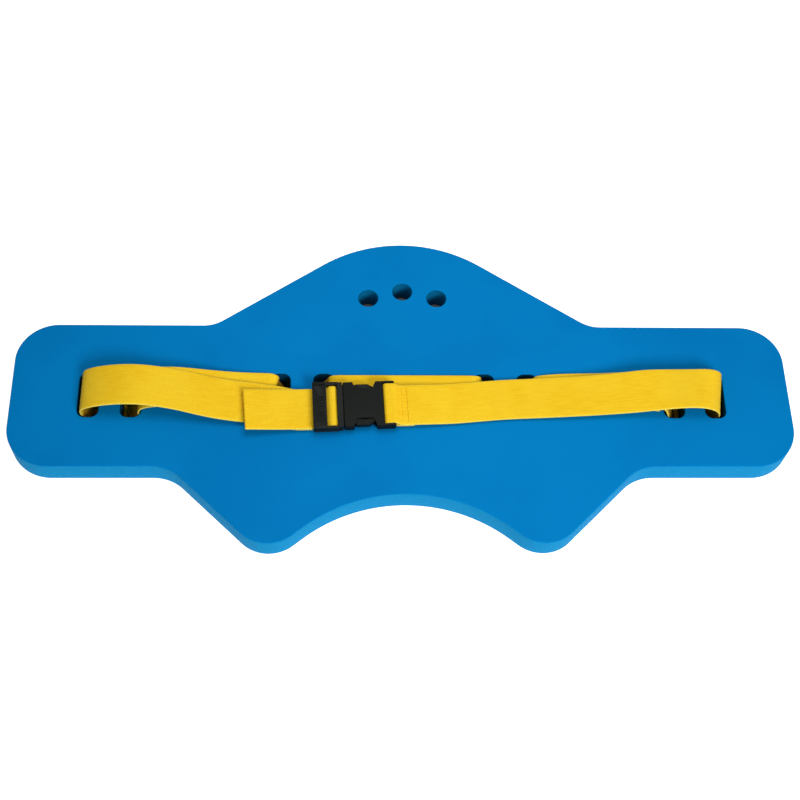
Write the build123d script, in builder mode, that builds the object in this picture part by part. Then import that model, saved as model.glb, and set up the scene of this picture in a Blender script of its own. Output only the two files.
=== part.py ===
"""Swim belt: a foam board on a woven webbing belt that closes with a side-release buckle.

Millimetres. X runs along the board, +Y towards its humped edge and +Z up. The belt passes
under the board, so z = 0 is the underside of the webbing and the board lies just above it.
"""

import os
from math import cos, radians, sin

from build123d import *

os.makedirs("parts", exist_ok=True)

# Belt webbing
WEB_WIDTH = 40.0
WEB_THICK = 1.6
PLAY = 0.2                      # gap between webbing and what it lies on

# Foam board: its outline is a polygon with large corner radii, symmetric about x = 0
BOARD_THICK = 25.0
BOARD_BOTTOM = WEB_THICK + PLAY
BOARD_TOP = BOARD_BOTTOM + BOARD_THICK
HUMP_APEX = (179.3, 131.0)      # y and corner radius, in the middle of the rear edge
WAIST_CUT = (-66.0, 144.0)      # y and corner radius, in the middle of the front edge
RIGHT_CORNERS = (               # x, y and corner radius, from the hump round to the waist
    (173.5, 62.6, 33.0),
    (350.0, 62.6, 37.0),
    (350.0, -80.5, 39.0),
    (206.6, -80.5, 38.5),
    (121.0, -163.6, 33.5),
)

# Through holes near the humped edge
HOLE_RADIUS = 9.2
MIDDLE_HOLE_Y = 100.1
SIDE_HOLES = (31.8, 92.9)

# Belt slots, four either side of the middle
SLOT_XS = (72.3, 111.6, 243.3, 281.0)
SLOT_Y = -10.0
SLOT_WIDTH = 18.9
SLOT_LENGTH = 44.1
SLOT_CORNER = 7.0
LEG_LEAN = 5.5                  # how far each end of a leg of webbing leans from mid-slot

# Side-release buckle, in its own frame: u along the belt, v across it
BUCKLE_CENTRE = (-45.25, -24.7)
BUCKLE_TURN = 2.5               # degrees, anticlockwise from above
BUCKLE_Z = BOARD_TOP + 7.5
BUCKLE_END = 36.6               # half of the buckle's length

# Socket half
SOCKET_WIDTH = 44.6
SOCKET_HALF_THICK = 4.2
MOUTH_U = -9.5
CAVITY_HALF_WIDTH = 20.5
CAVITY_HALF_HEIGHT = 2.9
CAVITY_END = 22.0
SOCKET_WALL_END = 26.0
LOOP_SLOT_END = 29.4
LOOP_BAR_HALF_THICK = 1.7
LOOP_BAR_END = 35.4
NOTCH_US = (-0.9, 2.4, 16.4, 20.0)  # ends of the one flank, of the floor and of the other flank
NOTCH_FLOOR = 14.2
NOTCH_ROUND = 1.6
SOCKET_CORNER = 1.6
SOCKET_EDGE = 1.0

# Plug half
LADDER_WIDTH = 46.4
LADDER_OPENING = 41.0
LADDER_CORNER = 1.8
LADDER_BOTTOM = -3.4
LADDER_TOP = 3.2
CHEEK_TOP = 4.2
CHEEK_LENGTH = 12.0
CHEEK_CORNER = 1.2
OUTER_BAR_US = (-BUCKLE_END, -24.2)
OUTER_BAR_BOTTOM = -1.7
OUTER_BAR_CHAMFER = 1.8
CENTRE_BAR_US = (-20.8, -16.8)
CENTRE_BAR_ZS = (-2.6, 0.2)
CENTRE_BAR_CORNER = 0.9
SHOULDER_US = (-13.5, -10.0)
SHOULDER_WIDTH = 44.6
SHOULDER_HALF_THICK = 4.0
COLLAR_END = -3.0
COLLAR_WIDTH = 39.6
COLLAR_THICK = 5.6
TONGUE_END = 14.0
TONGUE_WIDTH = 9.0
TONGUE_THICK = 3.0
GRIP_RIDGES = 7
GRIP_U = -28.0
GRIP_PITCH = 3.0
GRIP_LENGTH = 5.0
GRIP_WIDTH = 1.2
GRIP_HEIGHT = 0.6

# Release arms, each turning on a root barrel seated in the collar
ARM_ROOT_U = -2.6
ARM_ROOT_V = 14.5
ARM_BARREL = 1.6
ARM_SEAT = ARM_BARREL + 0.3
ARM_THICK = 5.2

# Height of the webbing's middle at the buckle, from the buckle's own middle
RUN_Z = BOARD_TOP + 2.9 - BUCKLE_Z
TAIL_Z = RUN_Z + WEB_THICK + PLAY
OVER_BAR_Z = CENTRE_BAR_ZS[1] + PLAY + WEB_THICK / 2
LOOP_Z = LOOP_BAR_HALF_THICK + PLAY + WEB_THICK / 2
SEWN_TOP_Z = RUN_Z + 2.5
SEWN_BOTTOM_Z = SEWN_TOP_Z - WEB_THICK - 0.1

# Where the belt's stretches meet, along u
LEFT_JOIN = -41.5
RIGHT_JOIN = 52.0
TAIL_SPLIT = -77.5
TAIL_TIP = -97.5
TAIL_RISE = 7.0                 # how much higher the tail's tip lies than its root
STITCH_US = (42.8, 47.7)
STITCHES_PER_ROW = 11
STITCH_PITCH = 3.2
STITCH_LENGTH = 2.4
STITCH_WIDTH = 0.6
STITCH_PROUD = 0.3

turn = radians(BUCKLE_TURN)
u_axis = Vector(cos(turn), sin(turn), 0)
v_axis = Vector(-sin(turn), cos(turn), 0)
buckle_middle = Vector(*BUCKLE_CENTRE, BUCKLE_Z)
buckle_plan = Plane(origin=buckle_middle, x_dir=u_axis, z_dir=(0, 0, 1))
buckle_side = Plane(origin=buckle_middle, x_dir=u_axis, z_dir=-v_axis)
belt_side = Plane(origin=(0, SLOT_Y, 0), x_dir=(1, 0, 0), z_dir=(0, -1, 0))


def on_board(u):
    """The x and y of a point on the buckle's long axis."""
    point = buckle_middle + u_axis * u
    return (point.X, point.Y)


def belt_edges(middle):
    """Plan outline of a stretch of belt whose middle line runs through these points."""
    rear = []
    front = []
    for index, point in enumerate(middle):
        before = Vector(*middle[max(index - 1, 0)])
        after = Vector(*middle[min(index + 1, len(middle) - 1)])
        along = (after - before).normalized()
        across = Vector(-along.Y, along.X, 0) * WEB_WIDTH / 2
        rear.append(Vector(*point) + across)
        front.append(Vector(*point) - across)
    return rear + front[::-1]


def webbing(side, route, radii, outline=None):
    """A stretch of webbing swept along its side view, and cut to its plan outline if given one."""
    width = WEB_WIDTH if outline is None else 3 * WEB_WIDTH
    with BuildPart() as stretch:
        with BuildLine(side) as middle:
            FilletPolyline(*route, radius=radii)
        section = Plane(origin=middle.line @ 0, x_dir=side.z_dir, z_dir=middle.line % 0)
        with BuildSketch(section):
            Rectangle(width, WEB_THICK)
        sweep()
        if outline is not None:
            with BuildSketch():
                with BuildLine():
                    Polyline(*outline, close=True)
                make_face()
            extrude(amount=3 * BOARD_TOP, mode=Mode.INTERSECT)
    return stretch


def finish(piece, name):
    """Label a piece and write it out."""
    piece.part.label = name
    export_step(piece.part, f"parts/{name}.step")


# Foam board
left_corners = [(-x, y, radius) for x, y, radius in RIGHT_CORNERS]
outline = [(0, *HUMP_APEX), *RIGHT_CORNERS, (0, *WAIST_CUT), *left_corners[::-1]]
with BuildPart() as foam_board:
    with BuildSketch(Plane.XY.offset(BOARD_BOTTOM)):
        with BuildLine():
            FilletPolyline(
                *[(x, y) for x, y, radius in outline],
                radius=[radius for x, y, radius in outline],
                close=True,
            )
        make_face()
        with Locations(*[(side * x, SLOT_Y) for x in SLOT_XS for side in (-1, 1)]):
            RectangleRounded(SLOT_WIDTH, SLOT_LENGTH, SLOT_CORNER, mode=Mode.SUBTRACT)
        hole_x, hole_y = SIDE_HOLES
        with Locations((0, MIDDLE_HOLE_Y), (-hole_x, hole_y), (hole_x, hole_y)):
            Circle(HOLE_RADIUS, mode=Mode.SUBTRACT)
    extrude(amount=BOARD_THICK)
finish(foam_board, "foam_board")


# Webbing woven through the slots: four short runs under the board and three over it,
# of which the outer two are slack and arch up
over_z = BOARD_TOP + PLAY + WEB_THICK / 2
under_z = WEB_THICK / 2
mid_leg = (SLOT_XS[3], (over_z + under_z) / 2)


def leg(slot_x, lean):
    """Both ends of a leg of webbing in a slot: under the board, then over it."""
    return [(slot_x - lean, under_z), (slot_x + lean, over_z)]


weave_route = [
    (-mid_leg[0], mid_leg[1]),
    (-SLOT_XS[3] + LEG_LEAN, under_z),
    *leg(-SLOT_XS[2], LEG_LEAN),
    (-225.0, BOARD_TOP + 11.0),
    (-211.0, BOARD_TOP + 13.8),
    (-193.0, BOARD_TOP + 12.2),
    (-166.0, BOARD_TOP + 6.0),
    (-140.0, BOARD_TOP + 2.2),
    *leg(-SLOT_XS[1], -LEG_LEAN)[::-1],
    *leg(-SLOT_XS[0], LEG_LEAN),
    *leg(SLOT_XS[0], -LEG_LEAN)[::-1],
    *leg(SLOT_XS[1], LEG_LEAN),
    (134.0, BOARD_TOP + 3.2),
    (160.0, BOARD_TOP + 4.6),
    (190.0, BOARD_TOP + 5.2),
    (218.0, BOARD_TOP + 4.2),
    *leg(SLOT_XS[2], -LEG_LEAN)[::-1],
    (SLOT_XS[3] - LEG_LEAN, under_z),
    mid_leg,
]
weave_radii = [3, 3, 6, 12, 25, 40, 60, 60] + 8 * [3] + [40, 60, 60, 40] + 3 * [3]
webbing_weave = webbing(belt_side, weave_route, weave_radii)
finish(webbing_weave, "webbing_weave")


# Right upper run: up out of the last slot, over in a low arch, and along to the sewn loop
right_run = webbing(
    belt_side,
    [
        mid_leg,
        (286.5, BOARD_TOP + 1.0),
        (287.0, BOARD_TOP + 11.5),
        (272.0, BOARD_TOP + 14.8),
        (243.0, BOARD_TOP + 14.6),
        (212.0, BOARD_TOP + 11.0),
        (190.0, BOARD_TOP + 8.2),
        (160.0, BOARD_TOP + 6.8),
        (136.0, BOARD_TOP + 5.3),
        (118.0, BOARD_TOP + 3.4),
        (104.0, BOARD_TOP + 1.5),
        (82.0, BOARD_TOP + 1.5),
        (64.0, BOARD_TOP + 2.9),
        (36.0, BOARD_TOP + 2.9),
        (20.0, BUCKLE_Z + SEWN_TOP_Z),
        (2.0, BUCKLE_Z + SEWN_TOP_Z),
    ],
    [6.0, 5.0, 20.0, 60.0, 60.0, 60.0, 60.0, 60.0, 40.0, 30.0, 40.0, 40.0, 40.0, 25.0],
    belt_edges(
        [
            on_board(RIGHT_JOIN),
            on_board(RIGHT_JOIN + 12),
            (40.0, -20.3),
            (85.0, -15.7),
            (145.0, -13.5),
            (212.0, -10.7),
            (240.0, SLOT_Y),
            (300.0, SLOT_Y),
        ]
    ),
)
finish(right_run, "right_run")


# Left upper run: from the opposite slot, over in a taller arch, and down to the ladder lock
left_run = webbing(
    belt_side,
    [
        (-mid_leg[0], mid_leg[1]),
        (-286.5, BOARD_TOP + 1.0),
        (-286.0, BOARD_TOP + 8.0),
        (-270.0, BOARD_TOP + 17.5),
        (-245.0, BOARD_TOP + 21.8),
        (-222.0, BOARD_TOP + 18.6),
        (-207.0, BOARD_TOP + 16.0),
        (-192.0, BOARD_TOP + 14.4),
        (-165.0, BOARD_TOP + 8.2),
        (-140.0, BOARD_TOP + 4.8),
        (-114.0, BOARD_TOP + 2.9),
        (-84.0, BOARD_TOP + 2.9),
    ],
    [8.0, 8.0, 25.0, 45.0, 60.0, 60.0, 50.0, 60.0, 60.0, 60.0],
    belt_edges(
        [
            (-300.0, SLOT_Y),
            (-223.0, SLOT_Y),
            (-197.0, -12.3),
            (-170.0, -17.2),
            (-116.0, -22.6),
            on_board(LEFT_JOIN - 4),
            on_board(LEFT_JOIN),
        ]
    ),
)
finish(left_run, "left_run")


# Sewn loop: round the socket's rear bar, folded back under itself
sewn_loop = webbing(
    buckle_side,
    [
        (RIGHT_JOIN, SEWN_TOP_Z),
        (41.2, SEWN_TOP_Z),
        (36.4, LOOP_Z),
        (27.8, LOOP_Z),
        (27.8, -LOOP_Z),
        (36.5, -LOOP_Z),
        (40.5, SEWN_BOTTOM_Z),
        (50.5, SEWN_BOTTOM_Z),
    ],
    [3.0, 3.0, 2.0, 2.0, 4.0, 4.0],
)
finish(sewn_loop, "sewn_loop")


# Two rows of lock stitches through the sewn loop, proud of both its faces
with BuildPart() as loop_stitching:
    for face_z, outward in ((SEWN_TOP_Z + WEB_THICK / 2, 1), (SEWN_BOTTOM_Z - WEB_THICK / 2, -1)):
        with BuildSketch(buckle_plan.offset(face_z)):
            with Locations(*[(u, 0) for u in STITCH_US]):
                with GridLocations(1, STITCH_PITCH, 1, STITCHES_PER_ROW):
                    SlotOverall(STITCH_LENGTH, STITCH_WIDTH, rotation=90)
        extrude(amount=outward * STITCH_PROUD)
finish(loop_stitching, "loop_stitching")


# Socket half of the buckle
with BuildPart() as buckle_socket:
    socket_length = BUCKLE_END - MOUTH_U
    socket_middle = (BUCKLE_END + MOUTH_U) / 2
    with BuildSketch(buckle_plan.offset(-SOCKET_HALF_THICK)):
        with Locations((socket_middle, 0)):
            RectangleRounded(socket_length, SOCKET_WIDTH, SOCKET_CORNER)
    extrude(amount=2 * SOCKET_HALF_THICK)
    fillet(buckle_socket.faces().sort_by(Axis.Z)[-1].edges(), SOCKET_EDGE)
    fillet(buckle_socket.faces().sort_by(Axis.Z)[0].edges(), SOCKET_EDGE)
    # Cavity for the plug, open at the mouth
    with BuildSketch(buckle_plan.offset(-CAVITY_HALF_HEIGHT)):
        with Locations(((MOUTH_U - 1 + CAVITY_END) / 2, 0)):
            Rectangle(CAVITY_END - MOUTH_U + 1, 2 * CAVITY_HALF_WIDTH)
    extrude(amount=2 * CAVITY_HALF_HEIGHT, mode=Mode.SUBTRACT)
    # Slot for the sewn loop, and the thinner bar behind it, set back between two ears
    with BuildSketch(buckle_plan.offset(-SOCKET_HALF_THICK)):
        with Locations(((SOCKET_WALL_END + LOOP_SLOT_END) / 2, 0)):
            Rectangle(LOOP_SLOT_END - SOCKET_WALL_END, LADDER_OPENING)
    extrude(amount=2 * SOCKET_HALF_THICK, mode=Mode.SUBTRACT)
    for start in (-SOCKET_HALF_THICK, LOOP_BAR_HALF_THICK):
        with BuildSketch(buckle_plan.offset(start)):
            with Locations(((LOOP_SLOT_END + BUCKLE_END + 1) / 2, 0)):
                Rectangle(BUCKLE_END + 1 - LOOP_SLOT_END, LADDER_OPENING)
        extrude(amount=SOCKET_HALF_THICK - LOOP_BAR_HALF_THICK, mode=Mode.SUBTRACT)
    with BuildSketch(buckle_plan.offset(-SOCKET_HALF_THICK)):
        with Locations(((LOOP_BAR_END + BUCKLE_END + 1) / 2, 0)):
            Rectangle(BUCKLE_END + 1 - LOOP_BAR_END, LADDER_OPENING)
    extrude(amount=2 * SOCKET_HALF_THICK, mode=Mode.SUBTRACT)
    # Side notches, where finger and thumb reach the release arms
    with BuildSketch(buckle_plan.offset(-SOCKET_HALF_THICK)):
        for side in (-1, 1):
            with BuildLine():
                FilletPolyline(
                    (NOTCH_US[0], side * SOCKET_WIDTH),
                    (NOTCH_US[0], side * (SOCKET_WIDTH / 2 + 0.1)),
                    (NOTCH_US[1], side * NOTCH_FLOOR),
                    (NOTCH_US[2], side * NOTCH_FLOOR),
                    (NOTCH_US[3], side * (SOCKET_WIDTH / 2 + 0.1)),
                    (NOTCH_US[3], side * SOCKET_WIDTH),
                    radius=[0, 0, NOTCH_ROUND, NOTCH_ROUND, 0, 0],
                    close=True,
                )
            make_face()
    extrude(amount=2 * SOCKET_HALF_THICK, mode=Mode.SUBTRACT)
finish(buckle_socket, "buckle_socket")


# Plug half of the buckle: ladder lock, shoulder, collar and guide tongue
with BuildPart() as buckle_plug:
    ladder_length = SHOULDER_US[0] - OUTER_BAR_US[0]
    ladder_middle = (SHOULDER_US[0] + OUTER_BAR_US[0]) / 2
    with BuildSketch(buckle_plan.offset(LADDER_BOTTOM)):
        with Locations((ladder_middle, 0)):
            RectangleRounded(ladder_length, LADDER_WIDTH, LADDER_CORNER)
    extrude(amount=LADDER_TOP - LADDER_BOTTOM)
    # Cheeks that stand up at both ends of the outer bar
    cheek_width = (LADDER_WIDTH - LADDER_OPENING) / 2
    with BuildSketch(buckle_plan.offset(LADDER_TOP)):
        with Locations((OUTER_BAR_US[0] + CHEEK_LENGTH / 2, 0)):
            with GridLocations(1, LADDER_OPENING + cheek_width, 1, 2):
                RectangleRounded(CHEEK_LENGTH, cheek_width, CHEEK_CORNER)
    extrude(amount=CHEEK_TOP - LADDER_TOP)
    # Opening between the outer bar and the shoulder, and the way in under the outer bar
    with BuildSketch(buckle_plan.offset(LADDER_BOTTOM)):
        with Locations(((OUTER_BAR_US[1] + SHOULDER_US[0]) / 2, 0)):
            Rectangle(SHOULDER_US[0] - OUTER_BAR_US[1], LADDER_OPENING)
    extrude(amount=LADDER_TOP - LADDER_BOTTOM, mode=Mode.SUBTRACT)
    with BuildSketch(buckle_side):
        with BuildLine():
            Polyline(
                (OUTER_BAR_US[0] - 1, LADDER_BOTTOM),
                (OUTER_BAR_US[0] - 1, OUTER_BAR_BOTTOM),
                (OUTER_BAR_US[1] - OUTER_BAR_CHAMFER, OUTER_BAR_BOTTOM),
                (OUTER_BAR_US[1], OUTER_BAR_BOTTOM + OUTER_BAR_CHAMFER),
                (OUTER_BAR_US[1], LADDER_BOTTOM),
                close=True,
            )
        make_face()
    extrude(amount=LADDER_OPENING / 2, both=True, mode=Mode.SUBTRACT)
    # Centre bar that the webbing passes over
    with BuildSketch(buckle_side):
        centre_bar_length = CENTRE_BAR_US[1] - CENTRE_BAR_US[0]
        centre_bar_thick = CENTRE_BAR_ZS[1] - CENTRE_BAR_ZS[0]
        with Locations((sum(CENTRE_BAR_US) / 2, sum(CENTRE_BAR_ZS) / 2)):
            RectangleRounded(centre_bar_length, centre_bar_thick, CENTRE_BAR_CORNER)
    extrude(amount=LADDER_OPENING / 2 + 1, both=True)
    # Shoulder that closes the socket's mouth
    with BuildSketch(buckle_plan.offset(-SHOULDER_HALF_THICK)):
        with Locations(((SHOULDER_US[0] + SHOULDER_US[1] - 1) / 2, 0)):
            Rectangle(SHOULDER_US[1] - SHOULDER_US[0] + 1, SHOULDER_WIDTH)
    extrude(amount=2 * SHOULDER_HALF_THICK)
    # Collar and tongue inside the socket
    with BuildSketch(buckle_plan.offset(-COLLAR_THICK / 2)):
        with Locations(((SHOULDER_US[1] + COLLAR_END) / 2, 0)):
            Rectangle(COLLAR_END - SHOULDER_US[1], COLLAR_WIDTH)
        with Locations((ARM_ROOT_U, ARM_ROOT_V), (ARM_ROOT_U, -ARM_ROOT_V)):
            Circle(ARM_SEAT, mode=Mode.SUBTRACT)
    extrude(amount=COLLAR_THICK)
    with BuildSketch(buckle_plan.offset(-TONGUE_THICK / 2)):
        with Locations(((COLLAR_END + TONGUE_END) / 2, 0)):
            Rectangle(TONGUE_END - COLLAR_END, TONGUE_WIDTH)
    extrude(amount=TONGUE_THICK)
    # Grip ridges along the outer bar
    with BuildSketch(buckle_plan.offset(LADDER_TOP)):
        with Locations((GRIP_U, 0)):
            with GridLocations(1, GRIP_PITCH, 1, GRIP_RIDGES):
                SlotOverall(GRIP_LENGTH, GRIP_WIDTH)
    extrude(amount=GRIP_HEIGHT)
finish(buckle_plug, "buckle_plug")


def release_arm(side):
    """A release arm: root barrel, flexing leg and the pad that finger or thumb presses."""
    with BuildPart() as arm:
        with BuildSketch(buckle_plan.offset(-ARM_THICK / 2)):
            with BuildLine():
                FilletPolyline(
                    (ARM_ROOT_U, side * 15.6),
                    (-0.4, side * 17.6),
                    (1.4, side * 20.2),
                    (12.8, side * 20.2),
                    (19.3, side * 15.9),
                    (18.0, side * 13.6),
                    (9.0, side * 14.8),
                    (2.5, side * 13.7),
                    (ARM_ROOT_U, side * 13.4),
                    radius=[0, 1.0, 1.2, 4.0, 1.0, 1.0, 4.0, 4.0, 0],
                    close=True,
                )
            make_face()
            with Locations((ARM_ROOT_U, side * ARM_ROOT_V)):
                Circle(ARM_BARREL)
        extrude(amount=ARM_THICK)
    return arm


release_arm_rear = release_arm(1)
finish(release_arm_rear, "release_arm_rear")
release_arm_front = release_arm(-1)
finish(release_arm_front, "release_arm_front")


# Webbing threaded through the ladder lock: in from the left, up over the centre bar, and out
ladder_wrap = webbing(
    buckle_side,
    [
        (LEFT_JOIN, RUN_Z),
        (-15.4, RUN_Z),
        (-15.4, OVER_BAR_Z),
        (-21.3, OVER_BAR_Z),
        (-25.0, TAIL_Z),
        (LEFT_JOIN, TAIL_Z),
    ],
    [1.6, 1.6, 1.6, 1.6],
)
finish(ladder_wrap, "ladder_wrap")


# Loose tail that lies on the left upper run, and its cut tip
tail_far_z = TAIL_Z + TAIL_RISE * (TAIL_TIP - 2 - LEFT_JOIN) / (TAIL_TIP - LEFT_JOIN)
tail_near_z = TAIL_Z - TAIL_RISE * 2 / (LEFT_JOIN - TAIL_TIP)
tail_route = [
    (LEFT_JOIN + 2, tail_near_z),
    (TAIL_TIP - 2, tail_far_z),
]


def tail_piece(near, far):
    """Part of the tail between two values of u, cut square."""
    half = v_axis * WEB_WIDTH / 2
    near_point = Vector(*on_board(near))
    far_point = Vector(*on_board(far))
    corners = [near_point + half, far_point + half, far_point - half, near_point - half]
    with BuildPart() as piece:
        with BuildLine(buckle_side) as middle:
            Line(*tail_route)
        with BuildSketch(Plane(origin=middle.line @ 0, x_dir=v_axis, z_dir=middle.line % 0)):
            Rectangle(WEB_WIDTH + 4, WEB_THICK)
        sweep()
        with BuildSketch():
            with BuildLine():
                Polyline(*corners, close=True)
            make_face()
        extrude(amount=3 * BOARD_TOP, mode=Mode.INTERSECT)
    return piece


tail_strap = tail_piece(LEFT_JOIN, TAIL_SPLIT)
finish(tail_strap, "tail_strap")
tail_end = tail_piece(TAIL_SPLIT, TAIL_TIP)
finish(tail_end, "tail_end")
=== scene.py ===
"""Looks of the foam swim belt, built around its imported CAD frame. Metres, except where a name ends in _MM."""

from math import cos, pi, radians, sin

import bmesh
import bpy
from mathutils import Matrix, Vector


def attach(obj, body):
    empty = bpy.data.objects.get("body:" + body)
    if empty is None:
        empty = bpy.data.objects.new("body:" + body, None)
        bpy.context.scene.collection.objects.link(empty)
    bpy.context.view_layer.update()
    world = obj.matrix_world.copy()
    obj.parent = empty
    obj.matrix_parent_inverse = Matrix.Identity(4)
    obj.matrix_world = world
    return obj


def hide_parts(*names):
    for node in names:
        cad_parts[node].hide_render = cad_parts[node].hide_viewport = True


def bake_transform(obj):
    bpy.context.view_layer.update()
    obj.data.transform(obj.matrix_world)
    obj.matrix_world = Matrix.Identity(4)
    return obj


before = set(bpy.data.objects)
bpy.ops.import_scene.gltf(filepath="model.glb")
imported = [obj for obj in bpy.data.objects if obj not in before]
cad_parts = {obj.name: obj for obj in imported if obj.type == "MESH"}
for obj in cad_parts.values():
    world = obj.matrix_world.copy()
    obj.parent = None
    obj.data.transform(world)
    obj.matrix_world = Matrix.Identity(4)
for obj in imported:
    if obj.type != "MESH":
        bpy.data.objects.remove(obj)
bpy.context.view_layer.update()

MM = 0.001

# The part's own dimensions, millimetres
WEB_WIDTH = 40.0
WEB_THICK = 1.6
BOARD_BOTTOM = 1.8
BOARD_THICK = 25.0
BOARD_TOP = BOARD_BOTTOM + BOARD_THICK
HUMP_APEX = (179.3, 131.0)
WAIST_CUT = (-66.0, 144.0)
RIGHT_CORNERS = (
    (173.5, 62.6, 33.0),
    (350.0, 62.6, 37.0),
    (350.0, -80.5, 39.0),
    (206.6, -80.5, 38.5),
    (121.0, -163.6, 33.5),
)
HOLE_RADIUS = 9.2
HOLES = ((0.0, 100.1), (-31.8, 92.9), (31.8, 92.9))
SLOT_XS = (72.3, 111.6, 243.3, 281.0)
SLOT_Y = -10.0
SLOT_WIDTH = 18.9
SLOT_LENGTH = 44.1
SLOT_CORNER = 7.0
EDGE_ROUND = 1.0
BUCKLE_CENTRE = (-45.25, -24.7)
BUCKLE_TURN = radians(2.5)
BUCKLE_Z = BOARD_TOP + 7.5
RUN_Z = -4.6
TAIL_Z = -2.8
SEWN_TOP_Z = -2.1
SEWN_BOTTOM_Z = -3.8
LOOP_Z = 2.7
OVER_BAR_Z = 1.2
STITCH_US = (42.8, 47.7)
STITCHES_PER_ROW = 11
STITCH_PITCH = 3.2

u_axis = Vector((cos(BUCKLE_TURN), sin(BUCKLE_TURN), 0))
v_axis = Vector((-sin(BUCKLE_TURN), cos(BUCKLE_TURN), 0))


def at_buckle(u, v, z):
    """A point of the buckle's own frame, in the row's, millimetres."""
    return Vector((*BUCKLE_CENTRE, BUCKLE_Z)) + u_axis * u + v_axis * v + Vector((0, 0, z))


# ---------------------------------------------------------------- materials


class Nodes:
    """A short way to write one material's nodes."""

    def __init__(self, name):
        self.material = bpy.data.materials.new(name)
        self.material.use_nodes = True
        self.tree = self.material.node_tree
        self.tree.nodes.clear()
        self.output = self.new("ShaderNodeOutputMaterial")
        self.shader = self.new("ShaderNodeBsdfPrincipled")
        self.link(self.shader, "BSDF", self.output, "Surface")

    def new(self, kind, inputs=None, **settings):
        node = self.tree.nodes.new(kind)
        for key, value in settings.items():
            setattr(node, key, value)
        for key, value in (inputs or {}).items():
            if isinstance(value, tuple) and hasattr(value[0], "outputs"):
                self.tree.links.new(value[0].outputs[value[1]], node.inputs[key])
            else:
                node.inputs[key].default_value = value
        return node

    def link(self, source, output, target, entry):
        self.tree.links.new(source.outputs[output], target.inputs[entry])

    def math(self, operation, a, b=0.0, c=0.0):
        values = {0: a, 1: b}
        if operation in ("MULTIPLY_ADD", "WRAP", "COMPARE", "SMOOTH_MIN", "SMOOTH_MAX"):
            values[2] = c
        return (self.new("ShaderNodeMath", values, operation=operation), 0)

    def noise(self, vector, scale, detail=2.0, rough=0.5):
        return self.new(
            "ShaderNodeTexNoise",
            {"Vector": vector, "Scale": scale, "Detail": detail, "Roughness": rough},
        )

    def spread(self, value, low, high, to_low=0.0, to_high=1.0, smooth=True):
        node = self.new(
            "ShaderNodeMapRange",
            {"Value": value, "From Min": low, "From Max": high, "To Min": to_low, "To Max": to_high},
            interpolation_type="SMOOTHSTEP" if smooth else "LINEAR",
        )
        return (node, 0)

    def mix(self, share, a, b, blend="MIX"):
        node = self.new("ShaderNodeMix", data_type="RGBA", blend_type=blend)
        for entry, value in ((0, share), (6, a), (7, b)):
            if isinstance(value, tuple) and hasattr(value[0], "outputs"):
                self.tree.links.new(value[0].outputs[value[1]], node.inputs[entry])
            else:
                node.inputs[entry].default_value = value
        return (node, 2)

    def bump(self, height, distance, strength=1.0, normal=None):
        inputs = {"Height": height, "Distance": distance, "Strength": strength}
        if normal:
            inputs["Normal"] = normal
        return (self.new("ShaderNodeBump", inputs), 0)

    def finish(self, colour=None, roughness=None, normal=None, **fixed):
        for key, value in (("Base Color", colour), ("Roughness", roughness), ("Normal", normal)):
            if value is None:
                continue
            if isinstance(value, tuple) and hasattr(value[0], "outputs"):
                self.tree.links.new(value[0].outputs[value[1]], self.shader.inputs[key])
            else:
                self.shader.inputs[key].default_value = value
        for key, value in fixed.items():
            self.shader.inputs[key.replace("_", " ")].default_value = value
        return self.material


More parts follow.
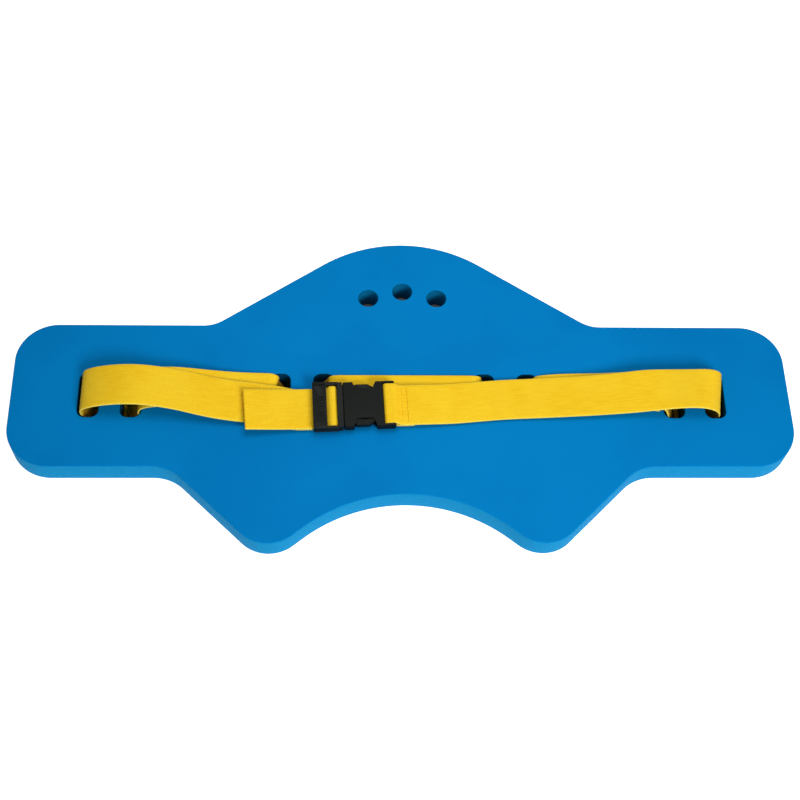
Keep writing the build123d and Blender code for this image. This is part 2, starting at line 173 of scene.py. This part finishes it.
def foam_material():
    """Closed-cell foam: a skin on the flat faces, and paler open cells where the edge is cut."""
    m = Nodes("foam_closed_cell")
    place = (m.new("ShaderNodeTexCoord"), "Object")
    facing = m.new("ShaderNodeNewGeometry")
    split = m.new("ShaderNodeSeparateXYZ", {"Vector": (facing, "True Normal")})
    flat = m.math("ABSOLUTE", (split, 2))
    cut = m.spread(flat, 0.75, 0.25)
    cells = m.new("ShaderNodeTexVoronoi", {"Vector": place, "Scale": 1400.0}, feature="F1")
    fine = m.new("ShaderNodeTexVoronoi", {"Vector": place, "Scale": 2600.0}, feature="F1")
    cloud = m.noise(place, 9.0, 3.0, 0.55)
    grain = m.noise(place, 420.0, 4.0, 0.6)
    skin = m.mix(
        m.spread((cloud, 0), 0.35, 0.65),
        (0.0001, 0.179, 0.488, 1),
        (0.0002, 0.199, 0.524, 1),
    )
    skin = m.mix(m.spread((grain, 0), 0.58, 0.80, 0.0, 0.22), skin, (0.002, 0.225, 0.560, 1))
    side = m.mix(
        m.spread((cells, 0), 0.10, 0.75),
        (0.0020, 0.222, 0.455, 1),
        (0.0010, 0.174, 0.385, 1),
    )
    side = m.mix(m.spread((grain, 0), 0.42, 0.75, 0.0, 0.35), side, (0.0080, 0.282, 0.520, 1))
    # Painted shade: the walls of the slots, and a little the walls of the holes, are painted darker than the outer
    # edge
    spot = m.new("ShaderNodeSeparateXYZ", {"Vector": place})
    from_middle = m.math("ABSOLUTE", (spot, 0))
    from_slots = m.math("ABSOLUTE", m.math("SUBTRACT", (spot, 1), SLOT_Y * MM))
    in_slots = m.math("MULTIPLY", m.spread(from_slots, 0.0245, 0.0230), m.spread(from_middle, 0.310, 0.300))
    from_holes = m.math("ABSOLUTE", m.math("SUBTRACT", (spot, 1), 0.0965))
    in_holes = m.math("MULTIPLY", m.spread(from_holes, 0.0180, 0.0150), m.spread(from_middle, 0.046, 0.043))
    painted_shade = m.math("MAXIMUM", m.math("MULTIPLY", in_slots, 0.85), m.math("MULTIPLY", in_holes, 0.26))
    side = m.mix(painted_shade, side, (0.0010, 0.030, 0.085, 1))
    colour = m.mix(cut, skin, side)
    rough = m.spread((grain, 0), 0.3, 0.7, 0.62, 0.78)
    relief = m.math(
        "ADD",
        m.math("MULTIPLY", (fine, 0), m.spread(cut, 0, 1, 0.25, 0.2)),
        m.math("MULTIPLY", (cells, 0), m.spread(cut, 0, 1, 0.15, 1.0)),
    )
    normal = m.bump(relief, 0.00012, 0.55)
    normal = m.bump((cloud, 0), 0.0010, 0.35, normal)
    return m.finish(colour, rough, normal, Specular_IOR_Level=0.03)


def webbing_material():
    """Flat woven webbing. Across is the weave map's x and along its y, both in metres."""
    m = Nodes("webbing_weave_yellow")
    weave = m.new("ShaderNodeUVMap", uv_map="weave")
    place = (m.new("ShaderNodeTexCoord"), "Object")
    split = m.new("ShaderNodeSeparateXYZ", {"Vector": (weave, "UV")})
    across, along = (split, 0), (split, 1)
    # Ribs along the belt, and picks that alternate from one rib to the next
    rib_turn = m.math("MULTIPLY", across, 2 * pi / 0.0021)
    pick_turn = m.math("MULTIPLY", along, 2 * pi / 0.0016)
    ribs = m.math("SINE", rib_turn)
    lean = m.math("ADD", pick_turn, m.math("MULTIPLY", ribs, 1.35))
    picks = m.math("SINE", lean)
    weave_height = m.math("MULTIPLY_ADD", picks, 0.30, m.math("MULTIPLY", m.math("ABSOLUTE", ribs), 0.62))
    # Threads that catch the light in streaks
    stretch = m.new("ShaderNodeMapping", {"Vector": (weave, "UV"), "Scale": (900.0, 55.0, 1.0)})
    streak = m.noise((stretch, 0), 1.0, 3.0, 0.6)
    broad = m.noise(place, 26.0, 2.0, 0.5)
    # Selvedges: a rounder bundle at both edges, painted paler as a painted highlight where the rounded edge catches
    # the light
    edge = m.math("ABSOLUTE", m.math("SUBTRACT", across, WEB_WIDTH * MM / 2))
    selvedge = m.spread(edge, 0.0184, 0.0194)
    rim_highlight = m.spread(edge, 0.0192, 0.0199)
    colour = m.mix(
        m.spread((streak, 0), 0.32, 0.68),
        (0.860, 0.520, 0.011, 1),
        (0.935, 0.605, 0.018, 1),
    )
    colour = m.mix(m.spread((broad, 0), 0.38, 0.64, 0.0, 0.45), colour, (0.940, 0.650, 0.026, 1))
    # Painted shade: darker where the weave is low, in the gaps between the threads
    colour = m.mix(
        m.spread(weave_height, -0.15, 0.45, 0.22, 0.0),
        colour,
        (0.620, 0.340, 0.004, 1),
    )
    # Painted highlight: the selvedges, and more their rims, painted paler
    colour = m.mix(m.math("MULTIPLY", selvedge, 0.30), colour, (0.950, 0.700, 0.050, 1))
    colour = m.mix(m.math("MULTIPLY", rim_highlight, 0.65), colour, (0.860, 0.760, 0.150, 1))
    # Painted shade: inside the slots, below the board's top and above the floor, the webbing is painted dark brown
    spot = m.new("ShaderNodeSeparateXYZ", {"Vector": place})
    below = m.spread((spot, 2), (BOARD_TOP + 0.5) * MM, (BOARD_TOP - 5) * MM)
    above_floor = m.spread((spot, 2), 0.003, 0.006)
    painted_slot_shade = m.math("MULTIPLY", m.math("MULTIPLY", below, above_floor), 0.80)
    colour = m.mix(painted_slot_shade, colour, (0.300, 0.130, 0.004, 1))
    rough = m.spread((streak, 0), 0.3, 0.7, 0.52, 0.70)
    edge_pick = m.math("SINE", m.math("MULTIPLY", along, 2 * pi / 0.0024))
    height = m.math("ADD", weave_height, m.math("MULTIPLY", edge_pick, m.math("MULTIPLY", selvedge, 0.5)))
    normal = m.bump(height, 0.00022, 0.75)
    normal = m.bump((broad, 0), 0.0012, 0.25, normal)
    return m.finish(
        colour, rough, normal, Sheen_Weight=0.04, Sheen_Roughness=0.45, Specular_IOR_Level=0.06
    )


def thread_material():
    """Bonded sewing thread, twisted."""
    m = Nodes("thread_twisted")
    place = (m.new("ShaderNodeTexCoord"), "Object")
    twist = m.new(
        "ShaderNodeTexWave",
        {"Vector": place, "Scale": 900.0, "Distortion": 1.5, "Detail": 1.0},
        wave_type="BANDS",
        bands_direction="DIAGONAL",
    )
    colour = m.mix(m.spread((twist, 1), 0.2, 0.8), (0.640, 0.330, 0.008, 1), (0.800, 0.460, 0.012, 1))
    normal = m.bump((twist, 1), 0.00008, 0.6)
    return m.finish(colour, 0.65, normal, Specular_IOR_Level=0.08)


def plastic_material():
    """Moulded acetal: satin black with a spark-eroded grain, and a painted highlight on its sharp edges."""
    m = Nodes("buckle_moulded_black")
    place = (m.new("ShaderNodeTexCoord"), "Object")
    grain = m.noise(place, 2400.0, 3.0, 0.6)
    haze = m.noise(place, 60.0, 3.0, 0.55)
    painted_highlight_edges = m.new("ShaderNodeNewGeometry")
    colour = m.mix(
        m.spread((haze, 0), 0.35, 0.7),
        (0.0036, 0.0052, 0.0040, 1),
        (0.0060, 0.0078, 0.0064, 1),
    )
    # Painted highlight: the sharp edges, found by their pointiness, painted paler
    colour = m.mix(m.spread((painted_highlight_edges, "Pointiness"), 0.52, 0.60, 0.0, 0.45), colour, (0.022, 0.026, 0.023, 1))
    rough = m.spread((haze, 0), 0.3, 0.7, 0.36, 0.50)
    normal = m.bump((grain, 0), 0.00004, 0.6)
    return m.finish(colour, rough, normal, Specular_IOR_Level=0.11)


foam = foam_material()
webbing = webbing_material()
thread = thread_material()
plastic = plastic_material()


# ---------------------------------------------------------------- helpers


def add_piece(name, mesh, material):
    """A mesh piece in the row's frame, smooth, with one material."""
    piece = bpy.data.objects.new(name, mesh)
    bpy.context.collection.objects.link(piece)
    mesh.materials.clear()
    mesh.materials.append(material)
    mesh.polygons.foreach_set("use_smooth", [True] * len(mesh.polygons))
    return piece


def settle(piece):
    """Applies a piece's modifiers to its mesh."""
    bpy.context.view_layer.update()
    graph = bpy.context.evaluated_depsgraph_get()
    mesh = bpy.data.meshes.new_from_object(piece.evaluated_get(graph))
    old = piece.data
    piece.modifiers.clear()
    piece.data = mesh
    if old.users == 0:
        bpy.data.meshes.remove(old)
    return piece


def rounded_outline(corners, step=radians(2.5)):
    """Closed outline with each corner (x, y, radius) replaced by its arc."""
    points = []
    count = len(corners)
    for index, (x, y, radius) in enumerate(corners):
        here = Vector((x, y))
        back = (Vector(corners[index - 1][:2]) - here).normalized()
        ahead = (Vector(corners[(index + 1) % count][:2]) - here).normalized()
        half = back.angle(ahead) / 2
        middle = here + (back + ahead).normalized() * radius / sin(half)
        first = here + back * radius * cos(half) / sin(half) - middle
        last = here + ahead * radius * cos(half) / sin(half) - middle
        sweep = first.angle_signed(last)
        parts = max(2, int(abs(sweep) / step))
        for part in range(parts + 1):
            turned = first.copy()
            turned.rotate(Matrix.Rotation(-sweep * part / parts, 2))
            points.append(middle + turned)
    return points


def spline_points(points, per_span=14):
    """A smooth line through the space of these control points: a clamped cubic B-spline."""
    degree = 3
    count = len(points)
    knots = [0.0] * degree + [float(k) for k in range(count - degree + 1)] + [float(count - degree)] * degree
    line = []
    total = (count - degree) * per_span
    for step in range(total + 1):
        t = min((count - degree) * step / total, count - degree - 1e-9)
        span = degree + int(t)
        work = [Vector(points[span - degree + j]) for j in range(degree + 1)]
        for r in range(1, degree + 1):
            for j in range(degree, r - 1, -1):
                low = knots[span - degree + j]
                high = knots[span + 1 + j - r]
                share = (t - low) / (high - low) if high > low else 0.0
                work[j] = work[j - 1].lerp(work[j], share)
        line.append(work[degree])
    return line


def even_steps(line, step):
    """The same line in steps of one length."""
    lengths = [0.0]
    for before, after in zip(line, line[1:]):
        lengths.append(lengths[-1] + (after - before).length)
    count = max(2, round(lengths[-1] / step))
    even = []
    index = 0
    for part in range(count + 1):
        goal = lengths[-1] * part / count
        while index < len(line) - 2 and lengths[index + 1] < goal:
            index += 1
        width = lengths[index + 1] - lengths[index]
        even.append(line[index].lerp(line[index + 1], (goal - lengths[index]) / width if width else 0))
    return even


def webbing_section():
    """Cross-section of the webbing: (across, height) round its rim, with rounded selvedges."""
    half, thick = WEB_WIDTH / 2, WEB_THICK / 2
    flat = 17
    top = [(-half + thick + (2 * half - 2 * thick) * k / flat, thick) for k in range(flat + 1)]
    right = [
        (half - thick + thick * sin(a), thick * cos(a))
        for a in (pi / 5, 2 * pi / 5, 3 * pi / 5, 4 * pi / 5)
    ]
    return top + right + [(-x, -z) for x, z in top] + [(-x, -z) for x, z in right]


def ribbon(name, controls, start=0.0, step=1.4, per_span=14, sides=None, closed_ends=True):
    """Webbing along control points (x, y, z[, lift of its +v edge]), millimetres.

    sides gives the direction across the belt at a point, and start where the weave map begins."""
    lifted = [(*c[:3], c[3] if len(c) > 3 else 0.0) for c in controls]
    line = spline_points([Vector(c) for c in lifted], per_span)
    line = even_steps(line, step)
    section = webbing_section()
    mesh = bpy.data.meshes.new(name)
    build = bmesh.new()
    uv = build.loops.layers.uv.new("weave")
    rings, marks = [], []
    run = start * MM
    for index, place in enumerate(line):
        here = place.xyz
        before = line[max(index - 1, 0)].xyz
        after = line[min(index + 1, len(line) - 1)].xyz
        along = (after - before).normalized()
        across = sides(here) if sides else Vector((0, 1, 0))
        across = (across - along * across.dot(along)).normalized()
        up = along.cross(across)
        tilt = place[3] / (WEB_WIDTH / 2)
        across = (across + up * tilt).normalized()
        up = along.cross(across)
        if index:
            run += (here - line[index - 1].xyz).length * MM
        ring = []
        for x, z in section:
            ring.append(build.verts.new((here + across * x + up * z) * MM))
        rings.append(ring)
        marks.append(run)
    size = len(section)
    for index in range(len(rings) - 1):
        for k in range(size):
            n = (k + 1) % size
            face = build.faces.new((rings[index][k], rings[index][n], rings[index + 1][n], rings[index + 1][k]))
            values = ((k, index), (n, index), (n, index + 1), (k, index + 1))
            for loop, (s, i) in zip(face.loops, values):
                loop[uv].uv = (section[s][0] * MM + WEB_WIDTH * MM / 2, marks[i])
    if closed_ends:
        for ring, index, flip in ((rings[0], 0, False), (rings[-1], len(rings) - 1, True)):
            face = build.faces.new(ring if flip else ring[::-1])
            order = range(size) if flip else range(size - 1, -1, -1)
            for loop, s in zip(face.loops, order):
                loop[uv].uv = (section[s][0] * MM + WEB_WIDTH * MM / 2, marks[index])
    bmesh.ops.recalc_face_normals(build, faces=build.faces)
    build.to_mesh(mesh)
    build.free()
    return add_piece(name, mesh, webbing)


def toward_buckle(point):
    """Across the belt: along +y far from the buckle, and along v near it."""
    near = min(max((abs(point.x - BUCKLE_CENTRE[0]) - 60) / 90, 0), 1)
    far = min(max((point.x - 268) / 14, 0), 1) * min(max((point.z - MID) / 8, 0), 1)
    skew = 0.045 * far * far * (3 - 2 * far)
    return v_axis.lerp(Vector((skew, 1, 0)), near * near * (3 - 2 * near))


# ---------------------------------------------------------------- foam board


def make_foam():
    left = [(-x, y, r) for x, y, r in RIGHT_CORNERS]
    corners = [(0, *HUMP_APEX), *RIGHT_CORNERS, (0, *WAIST_CUT), *left[::-1]]
    loops = [rounded_outline(corners)]
    for x in [side * s for s in SLOT_XS for side in (-1, 1)]:
        a, b = SLOT_WIDTH / 2, SLOT_LENGTH / 2
        box = [(x + a, SLOT_Y + b), (x + a, SLOT_Y - b), (x - a, SLOT_Y - b), (x - a, SLOT_Y + b)]
        loops.append(rounded_outline([(*c, SLOT_CORNER) for c in box], radians(9)))
    for x, y in HOLES:
        turns = [2 * pi * k / 56 for k in range(56)]
        loops.append([Vector((x + HOLE_RADIUS * cos(t), y + HOLE_RADIUS * sin(t))) for t in turns])
    curve = bpy.data.curves.new("foam_outline", "CURVE")
    curve.dimensions = "2D"
    curve.fill_mode = "BOTH"
    curve.extrude = (BOARD_THICK / 2 - EDGE_ROUND) * MM
    curve.bevel_depth = EDGE_ROUND * MM
    curve.bevel_resolution = 3
    curve.offset = -EDGE_ROUND * MM
    for loop in loops:
        spline = curve.splines.new("POLY")
        spline.points.add(len(loop) - 1)
        for point, place in zip(spline.points, loop):
            point.co = (place.x * MM, place.y * MM, 0, 1)
        spline.use_cyclic_u = True
    shape = bpy.data.objects.new("foam_outline", curve)
    bpy.context.collection.objects.link(shape)
    bpy.context.view_layer.update()
    mesh = bpy.data.meshes.new_from_object(shape.evaluated_get(bpy.context.evaluated_depsgraph_get()))
    bpy.data.objects.remove(shape)
    mesh.transform(Matrix.Translation((0, 0, (BOARD_BOTTOM + BOARD_THICK / 2) * MM)))
    build = bmesh.new()
    build.from_mesh(mesh)
    bmesh.ops.remove_doubles(build, verts=build.verts, dist=1e-6)
    bmesh.ops.recalc_face_normals(build, faces=build.faces)
    build.to_mesh(mesh)
    build.free()
    piece = add_piece("foam_slab", mesh, foam)
    mesh.polygons.foreach_set("use_smooth", [abs(p.normal.z) < 0.999 for p in mesh.polygons])
    return piece


foam_slab = make_foam()
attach(foam_slab, "board")
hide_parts("foam_board")


# ---------------------------------------------------------------- belt

TOP = BOARD_TOP
LAY = TOP + 1.0                 # middle of webbing that lies on the board
UNDER = WEB_THICK / 2 + 0.12    # middle of webbing that lies under it
MID = (LAY + UNDER) / 2


def plain_leg(slot_x, lean, top_lean=None):
    """Through a slot, from under the board to over it, leaning with x."""
    top = lean if top_lean is None else top_lean
    return [
        (slot_x - lean - (2 if lean > 0 else -2), SLOT_Y, UNDER),
        (slot_x - lean, SLOT_Y, UNDER),
        (slot_x - lean * 0.72, SLOT_Y, UNDER + 3.2),
        (slot_x + (top - lean) * 0.4, SLOT_Y, MID),
        (slot_x + top * 0.84, SLOT_Y, LAY - 5.6),
        (slot_x + top, SLOT_Y, LAY - 2.4),
    ]


def along_buckle(points):
    return [tuple(at_buckle(u, 0, z)) for u, z in points]


def make_strap():
    """From the sewn loop, over the right arch, and back through the board to the last slot on the left."""
    controls = along_buckle(
        [
            (52.5, SEWN_BOTTOM_Z), (48.0, SEWN_BOTTOM_Z), (42.5, SEWN_BOTTOM_Z), (38.5, -LOOP_Z - 0.5),
            (35.0, -LOOP_Z), (30.6, -LOOP_Z), (27.7, -LOOP_Z), (27.2, -1.4), (27.2, 1.4), (27.7, LOOP_Z),
            (30.6, LOOP_Z), (35.0, LOOP_Z), (37.4, LOOP_Z - 0.5), (40.2, SEWN_TOP_Z + 0.7), (43.2, SEWN_TOP_Z),
            (49.0, SEWN_TOP_Z), (57.0, SEWN_TOP_Z),
        ]
    )
    # Upper run to the right: x, y, height above the board, lift of the rear edge
    upper = (
        (28, -21.3, 4.4, 0), (44, -20.1, 3.2, 0), (66, -17.7, 2.9, 0), (90, -15.4, 2.9, 0),
        (116, -14.6, 3.4, 0.2), (142, -14.0, 5.1, 0.3), (168, -12.9, 6.0, 0.5), (190, -11.7, 7.6, 1.2),
        (206, -11.0, 9.8, 2.4), (220, -10.5, 12.2, 2.3), (234, -10.1, 13.2, 0.6), (250, -10, 14.6, -0.7),
        (262, -10, 14.9, -0.7), (271, -10, 14.2, 0.6), (279, -10, 11.6, 2.4), (284.2, -10, 7.6, 2.8),
        (286.2, -10, 3.2, 2.4), (286.2, -10, -1.0, 1.4),
    )
    controls += [(x, y, TOP + h, lift) for x, y, h, lift in upper]
    controls += [(285.0, SLOT_Y, TOP - 6), (281.8, SLOT_Y, MID), (277.6, SLOT_Y, UNDER + 3.4)]
    controls += [(274.5, SLOT_Y, UNDER), (268.0, SLOT_Y, UNDER), (256.0, SLOT_Y, UNDER)]
    controls += plain_leg(SLOT_XS[2], -5.5)
    lower = (
        (236.6, 1.9, 0.9), (233.0, 2.8, 1.3), (225, 4.2, 2.2), (206, 3.6, 2.8), (184, 1.8, 2.8),
        (160, 1.6, 2.7), (144, 1.2, 2.5), (132, 0.6, 2.1), (125, 0.3, 1.2), (121.2, 0.1, 0.5),
    )
    controls += [(x, SLOT_Y + back_mm, TOP + h) for x, back_mm, h in lower]
    controls += plain_leg(SLOT_XS[1], 5.5, 7.4)[::-1]
    controls += [(100.0, SLOT_Y, UNDER), (86.0, SLOT_Y, UNDER)]
    controls += plain_leg(SLOT_XS[0], -5.5, -2.4)
    controls += [(66.5, SLOT_Y, LAY - 0.6), (60.5, SLOT_Y, LAY), (50.0, SLOT_Y, LAY), (0.0, SLOT_Y, LAY)]
    controls += [(-50.0, SLOT_Y, LAY), (-58.0, SLOT_Y, LAY), (-63.0, SLOT_Y, LAY - 0.4)]
    controls += plain_leg(-SLOT_XS[0], 5.5, 6.0)[::-1]
    controls += [(-86.0, SLOT_Y, UNDER), (-100.0, SLOT_Y, UNDER)]
    controls += plain_leg(-SLOT_XS[1], -5.5, -4.4)
    # Slack run on the left: x, height above the board, lift of the rear edge
    slack = (
        (-118.6, 0.4, -1.3), (-123.5, 1.05, -0.65), (-136, 1.9, -0.4), (-150, 3.3, 0), (-165, 5.5, 0),
        (-180, 8.4, 0), (-194, 11.3, 0), (-207, 13.2, 0), (-218, 12.9, 0), (-227, 10.9, 0),
        (-233.4, 7.4, 0), (-235.8, 2.6, 0), (-236.4, -2.5, 0),
    )
    controls += [(x, SLOT_Y + 1.4, TOP + h, lift) for x, h, lift in slack]
    controls += [(-239.0, SLOT_Y, TOP - 9.0), (-244.2, SLOT_Y, MID - 3.0), (-248.4, SLOT_Y, UNDER + 2.6)]
    controls += [(-251.4, SLOT_Y, UNDER), (-258.0, SLOT_Y, UNDER), (-268.0, SLOT_Y, UNDER), (-274.5, SLOT_Y, UNDER)]
    controls += [(-277.5, SLOT_Y, UNDER + 3.4), (-280.6, SLOT_Y, MID - 2.0), (-282.0, SLOT_Y, MID + 0.6)]
    return ribbon("belt_strap", controls, sides=toward_buckle)


def make_left():
    """Out of the last slot on the left, over the tall arch, and through the ladder lock."""
    controls = [(-281.2, SLOT_Y, MID - 2.0), (-282.6, SLOT_Y, MID + 1.5), (-285.6, SLOT_Y, TOP - 4.0)]
    upper = (
        (-286.6, -10, 1.5, 0), (-286.4, -10, 5.5, 0), (-283.6, -10, 9.8, 0), (-275, -10, 14.6, 0),
        (-259, -10, 19.2, 0), (-241, -10, 20.6, 0), (-224, -10.3, 18.4, 0), (-209, -11.4, 15.4, 0),
        (-196, -13.0, 13.4, 0), (-182, -15.8, 11.2, 0.2), (-168, -17.9, 8.8, 0.4), (-154, -19.2, 6.9, 0.5),
        (-140, -20.3, 5.6, 0.5), (-126, -21.6, 4.3, 0.3), (-112, -22.9, 3.2, 0.1),
    )
    controls += [(x, y, TOP + h, lift) for x, y, h, lift in upper]
    controls += along_buckle(
        [
            (-52.0, RUN_Z), (-42.0, RUN_Z), (-32.0, RUN_Z), (-24.0, RUN_Z), (-18.5, RUN_Z), (-15.9, RUN_Z + 0.3),
            (-15.5, -2.2), (-15.6, 0.3), (-16.8, OVER_BAR_Z), (-18.8, OVER_BAR_Z + 0.1), (-20.9, OVER_BAR_Z - 0.1),
            (-22.6, -0.6), (-24.6, TAIL_Z + 0.2), (-28.0, TAIL_Z), (-31.5, TAIL_Z), (-35.5, TAIL_Z),
        ]
    )
    return ribbon("belt_left", controls, sides=toward_buckle)


def make_tail():
    """The loose tail, from under the outer bar to its cut tip."""
    # Along the buckle, across it, and height above the tail's root
    route = (
        (-34.5, 0, 0), (-38, 0, 0), (-46, 0, 0.1), (-56, 0, 0.5), (-68, -0.3, 1.8),
        (-80, -0.6, 3.6), (-90, -0.9, 5.3), (-97, -1.2, 6.6),
    )
    controls = [tuple(at_buckle(u, v, TAIL_Z + rise_mm)) for u, v, rise_mm in route]
    return ribbon("belt_tail", controls, sides=lambda point: v_axis)


belt_strap = make_strap()
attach(belt_strap, "board")
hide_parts("webbing_weave", "right_run", "sewn_loop")

belt_left = make_left()
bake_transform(belt_left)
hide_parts("left_run", "ladder_wrap")

belt_tail = make_tail()
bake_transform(belt_tail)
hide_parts("tail_strap", "tail_end")


def make_stitches():
    """Lock stitches of both rows: short arched lengths of thread that dip into the webbing."""
    mesh = bpy.data.meshes.new("belt_stitches")
    build = bmesh.new()
    thread_radius, sides, parts = 0.34, 8, 9
    for face_z, out in ((SEWN_TOP_Z + WEB_THICK / 2, 1), (SEWN_BOTTOM_Z - WEB_THICK / 2, -1)):
        for row_u in STITCH_US:
            for count in range(STITCHES_PER_ROW):
                v = (count - (STITCHES_PER_ROW - 1) / 2) * STITCH_PITCH
                rings = []
                for part in range(parts):
                    share = 2 * part / (parts - 1) - 1
                    dip = -0.42 * share ** 4 + 0.06
                    middle = at_buckle(row_u + 0.10 * share, v + share * 1.50, face_z + out * dip)
                    ring = []
                    for side in range(sides):
                        angle = 2 * pi * side / sides
                        offset = u_axis * cos(angle) + Vector((0, 0, 1)) * sin(angle)
                        ring.append(build.verts.new((middle + offset * thread_radius) * MM))
                    rings.append(ring)
                for a, b in zip(rings, rings[1:]):
                    for side in range(sides):
                        n = (side + 1) % sides
                        build.faces.new((a[side], a[n], b[n], b[side]))
                build.faces.new(rings[0][::-1])
                build.faces.new(rings[-1])
    bmesh.ops.recalc_face_normals(build, faces=build.faces)
    build.to_mesh(mesh)
    build.free()
    return add_piece("belt_stitches", mesh, thread)


belt_stitches = make_stitches()
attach(belt_stitches, "board")
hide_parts("loop_stitching")


# ---------------------------------------------------------------- buckle


def moulded(name, node, body, round_mm):
    """A moulded copy of a CAD node, its sharp edges rounded as a tool leaves them."""
    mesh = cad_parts[node].data.copy()
    mesh.name = name
    build = bmesh.new()
    build.from_mesh(mesh)
    bmesh.ops.remove_doubles(build, verts=build.verts, dist=2e-6)
    bmesh.ops.dissolve_limit(
        build, angle_limit=radians(0.6), verts=build.verts, edges=build.edges, use_dissolve_boundaries=False
    )
    build.to_mesh(mesh)
    build.free()
    piece = add_piece(name, mesh, plastic)
    bevel = piece.modifiers.new("edges", "BEVEL")
    bevel.width = round_mm * MM
    bevel.segments = 3
    bevel.limit_method = "ANGLE"
    bevel.angle_limit = radians(32)
    bevel.harden_normals = False
    bevel.use_clamp_overlap = True
    settle(piece)
    piece.data.polygons.foreach_set("use_smooth", [True] * len(piece.data.polygons))
    weigh = piece.modifiers.new("weigh", "WEIGHTED_NORMAL")
    weigh.keep_sharp = False
    weigh.weight = 80
    settle(piece)
    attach(piece, body)
    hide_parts(node)
    return piece


moulded("buckle_socket_shell", "buckle_socket", "board", 0.45)
moulded("buckle_plug_frame", "buckle_plug", "plug", 0.40)
moulded("buckle_arm_rear", "release_arm_rear", "arm_rear", 0.35)
moulded("buckle_arm_front", "release_arm_front", "arm_front", 0.35)


# ---------------------------------------------------------------- floor, light and camera


def make_floor():
    m = Nodes("floor_white")
    place = (m.new("ShaderNodeTexCoord"), "Object")
    mottle = m.noise(place, 3.0, 2.0)
    colour = m.mix(m.spread((mottle, 0), 0.3, 0.7), (0.975, 0.975, 0.975, 1), (0.985, 0.985, 0.985, 1))
    # The open floor is lifted to white. Under the board and under its holes it is painted dark, as painted shade.
    split = m.new("ShaderNodeSeparateXYZ", {"Vector": place})
    beyond_x = m.spread(m.math("ABSOLUTE", (split, 0)), 0.300, 0.325)
    beyond_y = m.spread(m.math("ABSOLUTE", (split, 1)), 0.050, 0.062)
    hump = m.new("ShaderNodeVectorMath", {0: place, 1: (0.0, 0.098, 0.0)}, operation="DISTANCE")
    open_floor = m.math("MINIMUM", m.math("MAXIMUM", beyond_x, beyond_y), m.spread((hump, "Value"), 0.044, 0.058))
    colour = m.mix(open_floor, (0.16, 0.17, 0.18, 1), colour)
    material = m.finish(colour, 0.9, Specular_IOR_Level=0.1)
    glow = m.math("MULTIPLY", open_floor, 0.85)
    m.shader.inputs["Emission Color"].default_value = (1, 1, 1, 1)
    m.tree.links.new(glow[0].outputs[0], m.shader.inputs["Emission Strength"])
    mesh = bpy.data.meshes.new("floor")
    size = 12.0
    mesh.from_pydata(
        [(-size, -size, 0), (size, -size, 0), (size, size, 0), (-size, size, 0)], [], [(0, 1, 2, 3)]
    )
    mesh.materials.append(material)
    floor = bpy.data.objects.new("floor", mesh)
    bpy.context.collection.objects.link(floor)


make_floor()


def area_light(name, place, target, size, power, colour=(1, 1, 1)):
    data = bpy.data.lights.new(name, "AREA")
    data.shape = "RECTANGLE"
    data.size, data.size_y = size
    data.energy = power
    data.color = colour
    light = bpy.data.objects.new(name, data)
    bpy.context.collection.objects.link(light)
    light.location = place
    light.rotation_euler = (Vector(target) - Vector(place)).to_track_quat("-Z", "Y").to_euler()
    return light


area_light("key_front", (0.80, -1.35, 1.20), (0, 0, 0.02), (0.7, 0.7), 25.7)
area_light("key_top", (0.00, 0.06, 0.62), (0.00, 0, 0.02), (0.32, 0.32), 1.48)

world = bpy.data.worlds.new("studio")
world.use_nodes = True
background = world.node_tree.nodes["Background"]
background.inputs["Color"].default_value = (1.0, 1.0, 1.0, 1)
background.inputs["Strength"].default_value = 0.29
scene = bpy.context.scene
scene.world = world
scene.view_settings.view_transform = "Standard"

# The photographer's place: distance from the belt, height angle, turn and tilt of the camera
CAMERA_DISTANCE = 1.24743
CAMERA_ELEVATION = radians(62.0)
CAMERA_TURN = -0.093
CAMERA_TILT = -0.0847
CAMERA_SHIFT_MM = -3.95
LENS_MM = 62.59

back = Vector(
    (
        sin(CAMERA_TURN) * cos(CAMERA_ELEVATION),
        -cos(CAMERA_TURN) * cos(CAMERA_ELEVATION),
        sin(CAMERA_ELEVATION),
    )
)
level = Vector((cos(CAMERA_TURN), sin(CAMERA_TURN), 0))
rise = back.cross(level)
right = level * cos(CAMERA_TILT) - rise * sin(CAMERA_TILT)
above = level * sin(CAMERA_TILT) + rise * cos(CAMERA_TILT)
aim = Vector((0, -14.68, BOARD_TOP)) * MM
eye = aim + back * CAMERA_DISTANCE + right * CAMERA_SHIFT_MM * MM
lens = bpy.data.cameras.new("camera")
lens.lens = LENS_MM
lens.sensor_width = 36.0
lens.clip_start = 0.01
camera = bpy.data.objects.new("camera", lens)
bpy.context.collection.objects.link(camera)
camera.matrix_world = Matrix(
    (
        (right.x, above.x, back.x, eye.x),
        (right.y, above.y, back.y, eye.y),
        (right.z, above.z, back.z, eye.z),
        (0, 0, 0, 1),
    )
)
scene.camera = camera
